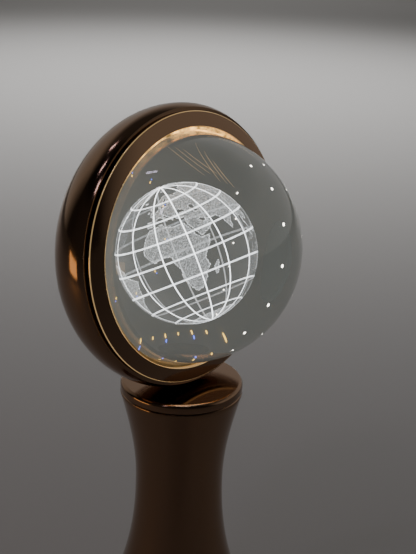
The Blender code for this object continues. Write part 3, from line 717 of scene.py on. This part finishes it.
class GLOBE_OT_button(bpy.types.Operator):
    """Turn the push button on the back, with a shallow dish for a fingertip"""
    bl_idname = "globe.button"
    bl_label = "Button"

    def execute(self, context):
        flat = BUTTON_RADIUS - BUTTON_EDGE
        profile = [(0, BUTTON_FRONT_AT), (BUTTON_FLANGE, BUTTON_FRONT_AT)]
        profile += [(BUTTON_FLANGE, BUTTON_FLANGE_AT), (BUTTON_RADIUS, BUTTON_FLANGE_AT)]
        profile += arc(flat, BUTTON_BACK_AT + BUTTON_EDGE, BUTTON_EDGE, 0, -math.pi / 2, 8)
        profile += [(0.8 * flat * t, BUTTON_BACK_AT + BUTTON_DISH * (1 - t * t)) for t in spaced(1, 0, 10)]
        button = turned("button", profile, ROUND_SMALL)
        place_in_head(button)
        finish_piece(button, bpy.data.materials["bronze_plating"], "button", "bronze_plated_abs",
                     "power_button")
        return {"FINISHED"}


class GLOBE_OT_fittings(bpy.types.Operator):
    """Finish the foot pad, the base plate, the socket and everything inside"""
    bl_idname = "globe.fittings"
    bl_label = "Fittings"

    def execute(self, context):
        for kind, (names, colour, metallic, grain, rough) in FITTINGS.items():
            material = fitting(f"{kind}_finish", colour, metallic, grain, rough)
            for name, node in NODES.items():
                if name.startswith(names):
                    dress(node, material)
        return {"FINISHED"}


class GLOBE_OT_reflector(bpy.types.Operator):
    """Turn the gold reflector behind the bezel"""
    bl_idname = "globe.reflector"
    bl_label = "Reflector"

    def execute(self, context):
        inner = [(40.55, 0.3), (40.35, -3.7), (40.0, -9.0), (38.9, -15.0), (37.4, -20.2)]
        outer = [(r + 0.8, s) for r, s in inner]
        profile = [(r * MM, s * MM) for r, s in outer + inner[::-1]]
        ring = turned("reflector", profile, closed=True)
        place_in_head(ring)
        finish_piece(ring, lit_gold(), "head", "gold_reflector", "reflector_ring")
        return {"FINISHED"}


def globe_centre_and_face():
    """The globe's centre, and the way it faces."""
    globe = settings("globe_engraving")
    face = Vector((math.sin(globe.facing) * math.cos(globe.rise),
                   -math.cos(globe.facing) * math.cos(globe.rise), math.sin(globe.rise)))
    up = face.cross(Vector((0, 0, 1)).cross(face).normalized())
    centre = head_matrix() @ Vector((0, 0, -settings("globe_head").ball_back)) - up * globe.drop
    return centre, face


def globe_matrix():
    """From the globe's own frame, its north along +Z and longitude zero on +X, to the world."""
    globe = settings("globe_engraving")
    centre, face = globe_centre_and_face()
    right = Vector((0, 0, 1)).cross(face).normalized()
    up = face.cross(right)
    pole = up * math.cos(globe.lean) - right * math.sin(globe.lean)
    north = pole * math.cos(globe.nod) + face * math.sin(globe.nod)
    face = face * math.cos(globe.nod) - pole * math.sin(globe.nod)
    east = north.cross(face)
    prime = face * math.cos(globe.middle) - east * math.sin(globe.middle)
    ninety = north.cross(prime)
    turn = Matrix((prime, ninety, north)).transposed().to_4x4()
    return Matrix.Translation(centre) @ turn


def place_globe(obj):
    """Move a finished mesh from the globe's own frame to its place in the ball."""
    place_by(obj, globe_matrix())


def joined(name, objects):
    """Join objects into one, their places applied."""
    deselect()
    for obj in objects:
        obj.select_set(True)
    bpy.context.view_layer.objects.active = objects[0]
    bpy.ops.object.join()
    bpy.ops.object.transform_apply(location=True, rotation=True, scale=True)
    obj = bpy.context.object
    obj.name = name
    return obj


def copied(name, piece, places):
    """Copies of one piece, each with its own mesh, put in their places and joined."""
    copies = []
    for place in places:
        copy = piece.copy()
        copy.data = piece.data.copy()
        bpy.context.collection.objects.link(copy)
        copy.matrix_world = place
        copies.append(copy)
    bpy.data.objects.remove(piece)
    return joined(name, copies)


class GLOBE_OT_meridians(bpy.types.Operator):
    """Engrave the lines from pole to pole inside the ball"""
    bl_idname = "globe.meridians"
    bl_label = "Meridians"

    def execute(self, context):
        globe = settings("globe_engraving")
        deselect()
        bpy.ops.mesh.primitive_cylinder_add(
            vertices=ROUND, radius=globe.radius, depth=globe.meridian_width, end_fill_type="NOTHING")
        step = 2 * math.pi / globe.meridians
        lines = copied("engraved_meridians", bpy.context.object, [
            Euler((math.pi / 2, 0, i * step)).to_matrix().to_4x4() for i in range(globe.meridians // 2)])
        place_globe(lines)
        finish_piece(lines, engraving("meridian_dots", globe.glow, (0.75, 1.0)), "head", "crystal")
        return {"FINISHED"}


class GLOBE_OT_parallels(bpy.types.Operator):
    """Engrave the parallels inside the ball"""
    bl_idname = "globe.parallels"
    bl_label = "Parallels"

    def execute(self, context):
        globe = settings("globe_engraving")
        half = globe.parallel_width / 2 / globe.radius
        rings = []
        for i in range(-3, 4):
            latitude = i * globe.parallels
            low = latitude - half
            high = latitude + half
            deselect()
            bpy.ops.mesh.primitive_cone_add(
                vertices=ROUND, radius1=globe.radius * math.cos(low), radius2=globe.radius * math.cos(high),
                depth=globe.radius * (math.sin(high) - math.sin(low)), end_fill_type="NOTHING",
                location=(0, 0, globe.radius * (math.sin(high) + math.sin(low)) / 2))
            rings.append(bpy.context.object)
        lines = joined("engraved_parallels", rings)
        place_globe(lines)
        finish_piece(lines, engraving("parallel_dots", 0.8 * globe.glow, (0.45, 0.8)), "head", "crystal")
        return {"FINISHED"}


def inside(outline, longitude, latitude):
    """Whether a place lies inside an outline of (longitude, latitude) corners."""
    found = False
    for (x1, y1), (x2, y2) in zip(outline, outline[1:] + outline[:1]):
        if (y1 > latitude) != (y2 > latitude):
            found ^= longitude < x1 + (x2 - x1) * (latitude - y1) / (y2 - y1)
    return found


def is_land(longitude, latitude):
    """Whether a place is on land."""
    if inside(INLAND_SEA, longitude, latitude):
        return False
    return any(inside(outline, longitude, latitude) for outline in LANDS.values())


class GLOBE_OT_lands(bpy.types.Operator):
    """Engrave the lands as a veil of dots, with denser dots along the coasts"""
    bl_idname = "globe.lands"
    bl_label = "Lands"

    def execute(self, context):
        globe = settings("globe_engraving")
        deselect()
        bpy.ops.mesh.primitive_uv_sphere_add(segments=360, ring_count=180, radius=globe.radius - 0.05 * MM)
        lands = bpy.context.object
        lands.name = "engraved_lands"
        cells = {}
        for face in lands.data.polygons:
            place = face.center
            longitude = round(math.degrees(math.atan2(place.y, place.x)) - 0.5)
            latitude = round(math.degrees(math.asin(place.z / place.length)) - 0.5)
            cells[face.index] = (longitude, latitude)
        land = {cell for cell in set(cells.values()) if is_land(cell[0] + 0.5, cell[1] + 0.5)}
        for face in lands.data.polygons:
            east, north = cells[face.index]
            face.select = (east, north) not in land
            around = ((east + 1, north), (east - 1, north), (east, north + 1), (east, north - 1))
            face.material_index = 0 if all(cell in land for cell in around) else 1
        bpy.context.tool_settings.mesh_select_mode = (False, False, True)
        bpy.ops.object.mode_set(mode="EDIT")
        bpy.ops.mesh.delete(type="FACE")
        bpy.ops.object.mode_set(mode="OBJECT")
        lands.data.materials.append(engraving("land_dots", 0.26 * globe.glow, (0.06, 0.5)))
        lands.data.materials.append(engraving("coast_dots", 0.42 * globe.glow, (0.25, 0.75)))
        place_globe(lands)
        finish_piece(lands, None, "head", "crystal")
        return {"FINISHED"}


class GLOBE_OT_haze(bpy.types.Operator):
    """Engrave the thin haze of stray dots over the whole globe"""
    bl_idname = "globe.haze"
    bl_label = "Haze"

    def execute(self, context):
        globe = settings("globe_engraving")
        deselect()
        bpy.ops.mesh.primitive_uv_sphere_add(segments=96, ring_count=48, radius=globe.radius - 0.12 * MM)
        haze = bpy.context.object
        haze.name = "engraved_haze"
        bpy.ops.object.shade_smooth()
        place_globe(haze)
        material = engraving("haze_dots", 0.45 * globe.glow, (0.0, 1.0))
        shader = material.node_tree.nodes["Principled BSDF"]
        edge = add(material, "ShaderNodeLayerWeight", blend=0.3)
        join(material, ramp(material, edge.outputs["Facing"], [(0.0, 0.01), (0.75, 0.04), (1.0, 0.6)]),
             shader.inputs["Alpha"])
        finish_piece(haze, material, "head", "crystal")
        return {"FINISHED"}


class GLOBE_OT_lamp(bpy.types.Operator):
    """Finish the LEDs, their board and the white carrier behind the ball"""
    bl_idname = "globe.lamp"
    bl_label = "Lamp"

    def execute(self, context):
        body = lit_white("led_body", 0.05, 0.12)
        for node in led_nodes():
            dress(node, body)
        dress(NODES["lamp_carrier"], lit_white("white_moulding", 0.04, 0.12))
        dress(NODES["led_board"], lit_white("white_board", 0.04, 0.12))
        return {"FINISHED"}


def studio_world():
    """A dim studio: a pale wall of light behind the lamp, and darkness in front of it."""
    world = bpy.data.worlds.new("studio")
    bpy.context.scene.world = world
    world.use_nodes = True
    tree = world.node_tree
    place = tree.nodes.new("ShaderNodeTexCoord")
    towards = tree.nodes.new("ShaderNodeVectorMath")
    towards.operation = "DOT_PRODUCT"
    towards.inputs[1].default_value = (0.93, 0.32, 0.16)
    shades = tree.nodes.new("ShaderNodeValToRGB")
    while len(shades.color_ramp.elements) < len(STUDIO_SHADES):
        shades.color_ramp.elements.new(0.5)
    for element, (position, colour) in zip(shades.color_ramp.elements, STUDIO_SHADES):
        element.position = position
        element.color = (*colour, 1.0)
    shift = tree.nodes.new("ShaderNodeMapRange")
    shift.inputs["From Min"].default_value = -1.0
    tree.links.new(place.outputs["Generated"], towards.inputs[0])
    tree.links.new(towards.outputs["Value"], shift.inputs["Value"])
    tree.links.new(shift.outputs["Result"], shades.inputs["Fac"])
    background = tree.nodes["Background"]
    tree.links.new(shades.outputs["Color"], background.inputs["Color"])
    split = tree.nodes.new("ShaderNodeSeparateXYZ")
    tree.links.new(place.outputs["Generated"], split.inputs["Vector"])
    overhead = tree.nodes.new("ShaderNodeMapRange")
    overhead.inputs["From Min"].default_value = 0.5
    overhead.inputs["From Max"].default_value = 0.8
    overhead.inputs["To Min"].default_value = 1.0
    overhead.inputs["To Max"].default_value = 0.15
    tree.links.new(split.outputs["Z"], overhead.inputs["Value"])
    tree.links.new(overhead.outputs["Result"], background.inputs["Strength"])


STUDIO_SHADES = [(0.0, (0.034, 0.032, 0.03)), (0.35, (0.02, 0.018, 0.017)), (0.45, (0.02, 0.018, 0.017)),
                 (0.62, (0.31, 0.295, 0.27)), (1.0, (0.36, 0.35, 0.34))]


def lamp_at(name, azimuth, elevation, distance, size, power, colour):
    """A soft rectangular light, aimed at the middle of the globe lamp."""
    middle = Vector((0, 0, 0.13))
    side = math.cos(elevation)
    away = Vector((math.sin(azimuth) * side, -math.cos(azimuth) * side, math.sin(elevation)))
    bpy.ops.object.light_add(type="AREA", location=middle + distance * away,
                             rotation=away.to_track_quat("Z", "Y").to_euler())
    light = bpy.context.object
    light.name = name
    light.data.shape = "RECTANGLE"
    light.data.size, light.data.size_y = size
    light.data.energy = power
    light.data.color = colour
    return light


GLINT_COLOURS = {"gold": (1.0, 0.62, 0.12), "blue": (0.12, 0.2, 1.0), "white": (1.0, 0.95, 0.85),
                 "hairline": (1.0, 0.72, 0.42)}
GLINT_STRENGTHS = {"gold": 2.6, "blue": 2.4, "white": 8.0, "hairline": 0.4}


def led_nodes():
    """The LEDs, in order."""
    return [node for name, node in sorted(NODES.items()) if name.startswith("led_") and name[-1].isdigit()]


def led_ring():
    """Radius of the LEDs' ring, from their own places in the frame."""
    low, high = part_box(led_nodes()[0].name)
    return (head_matrix().inverted() @ ((low + high) / 2)).xy.length


def glint_at(radius, turn, height, length, width, thickness=GLINT_FLAT, aim=0.0):
    """Place and size of one glint in the head's own frame, along or across its own radius."""
    place = Vector((radius * math.cos(turn), radius * math.sin(turn), height))
    return Matrix.LocRotScale(place, Euler((0, 0, turn + aim)), Vector((length, width, thickness)))


def glint_places():
    """Places of the glints by colour: rim, arc of sparkles, low row, inner ring and fan of hairlines."""
    head = settings("globe_head")
    glint = settings("globe_glints")
    ring = led_ring()
    count = len(led_nodes())
    low = -head.ball_back - head.ball_cut + 0.15 * MM
    places = {colour: [] for colour in GLINT_COLOURS}
    for i in range(count * glint.rim_count):
        turn = 2 * math.pi * i / (count * glint.rim_count)
        places["white"].append(glint_at(glint.rim_share * ring, turn, low, 0.24, 0.26))
    for i in range(glint.arc_count):
        turn = (2 - i) * glint.arc_step
        places["white"].append(glint_at(glint.arc_share * ring, turn, 0.0, 0.35, 0.75, 0.35))
    for i in range(glint.low_count):
        across = (LOW_ROW_START + LOW_ROW_STEP * i) * ring
        down = glint.low_share * ring
        size = 0.6 if i % 2 == 0 else 0.4
        turn = -math.atan2(down, across)
        radius = math.hypot(across, down)
        places["gold"].append(glint_at(radius, turn, low, size, 0.26))
        if i % 2 == 0:
            places["blue"].append(glint_at(radius + glint.blue_shift, turn, low, 0.6 * size, 0.28))
    for i in range(count):
        turn = math.pi / 2 - 2 * math.pi * (i + 0.5) / count
        radius = INNER_SHARE * ring
        places["gold"].append(glint_at(radius, turn, low, 0.5, 0.28))
        places["blue"].append(glint_at(radius + glint.blue_shift, turn, low, 0.3, 0.22))
    for i in range(glint.fan_count):
        share = i / (glint.fan_count - 1)
        turn = math.radians(FAN_START_DEG - FAN_SPREAD_DEG * share)
        length = glint.fan_length * (1.0 - 0.4 * share) / MM
        aim = math.radians(-68.0 + 4.0 * (i % 3))
        radius = (FAN_START_SHARE + FAN_SPREAD_SHARE * share) * ring
        places["hairline"].append(glint_at(radius, turn, low, length, 0.035, aim=aim))
    return places


class GLOBE_OT_glints(bpy.types.Operator):
    """Set the glints of the LEDs' light that are seen in the glass"""
    bl_idname = "globe.glints"
    bl_label = "Glints"

    def execute(self, context):
        for colour, places in glint_places().items():
            deselect()
            bpy.ops.mesh.primitive_uv_sphere_add(segments=10, ring_count=6, radius=0.5 * MM)
            bpy.ops.object.shade_smooth()
            glints = copied(f"glints_{colour}", bpy.context.object, places)
            place_in_head(glints)
            tint = GLINT_COLOURS[colour]
            material = new_material(
                f"glint_{colour}", base_color=tint, roughness=0.5, emission_color=tint,
                emission_strength=GLINT_STRENGTHS[colour])[0]
            finish_piece(glints, material, "head", "led")
        return {"FINISHED"}


class GLOBE_OT_stage(bpy.types.Operator):
    """Lay the floor, hang the studio lights and set the camera"""
    bl_idname = "globe.stage"
    bl_label = "Stage"

    def execute(self, context):
        deselect()
        bpy.ops.mesh.primitive_plane_add(size=24.0, location=(0, 0, 0))
        floor = bpy.context.object
        floor.name = "floor"
        floor.data.materials.append(
            new_material("floor", base_color=tuple(settings("globe_finish").floor), roughness=0.8)[0])
        bpy.ops.object.camera_add(location=(-0.2268, -0.2150, 0.2741),
                                  rotation=(1.2197, -0.0336, -0.8262))
        camera = bpy.context.object
        camera.name = "camera"
        camera.data.lens = 61.73
        camera.data.sensor_width = 36.0
        bpy.context.scene.camera = camera
        studio_world()
        degrees = math.radians
        for name, place, size, power in (("rear_softbox", (1.15, 1.1, 1.3), 1.5, 12.0),
                                         ("far_softbox", (2.9, 2.75, 1.9), 2.5, 5.0)):
            bpy.ops.object.light_add(type="AREA", location=place)
            softbox = bpy.context.object
            softbox.name = name
            softbox.data.size = size
            softbox.data.energy = power
            softbox.data.spread = degrees(90)
            softbox.visible_glossy = False
        lamp_at("warm_low_light", degrees(-120), degrees(-5), 0.5, (0.3, 0.1), 0.2, (1.0, 0.6, 0.25))
        for i, (azimuth, elevation) in enumerate(((-82, 50), (-115, 60), (-160, 62))):
            lamp_at(f"strip_{i + 1}", degrees(azimuth), degrees(elevation), 1.6, (0.06, 0.24), 0.4,
                    (0.85, 0.75, 1.0))
        return {"FINISHED"}


class GLOBE_PT_panel(bpy.types.Panel):
    """Every step of the globe lamp, in order"""
    bl_idname = "GLOBE_PT_panel"
    bl_label = "Globe Lamp"
    bl_space_type = "VIEW_3D"
    bl_region_type = "UI"
    bl_category = "Globe Lamp"

    def draw(self, context):
        for step in STEPS:
            self.layout.operator(step.bl_idname)


STEPS = (
    GLOBE_OT_stage, GLOBE_OT_column, GLOBE_OT_seat, GLOBE_OT_shell, GLOBE_OT_bezel, GLOBE_OT_ball,
    GLOBE_OT_button, GLOBE_OT_reflector, GLOBE_OT_meridians, GLOBE_OT_parallels, GLOBE_OT_lands,
    GLOBE_OT_haze, GLOBE_OT_lamp, GLOBE_OT_fittings, GLOBE_OT_glints,
)
SETTINGS = {"globe_stand": StandSettings, "globe_head": HeadSettings, "globe_engraving": GlobeSettings,
            "globe_glints": GlintSettings, "globe_finish": FinishSettings}


def register():
    """Register the classes and hang the settings on the scene."""
    for cls in (*SETTINGS.values(), *STEPS, GLOBE_PT_panel):
        bpy.utils.register_class(cls)
    for name, cls in SETTINGS.items():
        setattr(bpy.types.Scene, name, bpy.props.PointerProperty(type=cls))


def unregister():
    """Take the settings off the scene and unregister the classes."""
    for name in SETTINGS:
        delattr(bpy.types.Scene, name)
    for cls in reversed((*SETTINGS.values(), *STEPS, GLOBE_PT_panel)):
        bpy.utils.unregister_class(cls)


def main():
    """Register, and make every piece in order."""
    register()
    bronze_plating()
    bpy.ops.globe.stage()
    bpy.ops.globe.column()
    bpy.ops.globe.seat()
    bpy.ops.globe.shell()
    bpy.ops.globe.bezel()
    bpy.ops.globe.ball()
    bpy.ops.globe.button()
    bpy.ops.globe.reflector()
    bpy.ops.globe.meridians()
    bpy.ops.globe.parallels()
    bpy.ops.globe.lands()
    bpy.ops.globe.haze()
    bpy.ops.globe.lamp()
    bpy.ops.globe.fittings()
    bpy.ops.globe.glints()


if __name__ == "__main__":
    main()
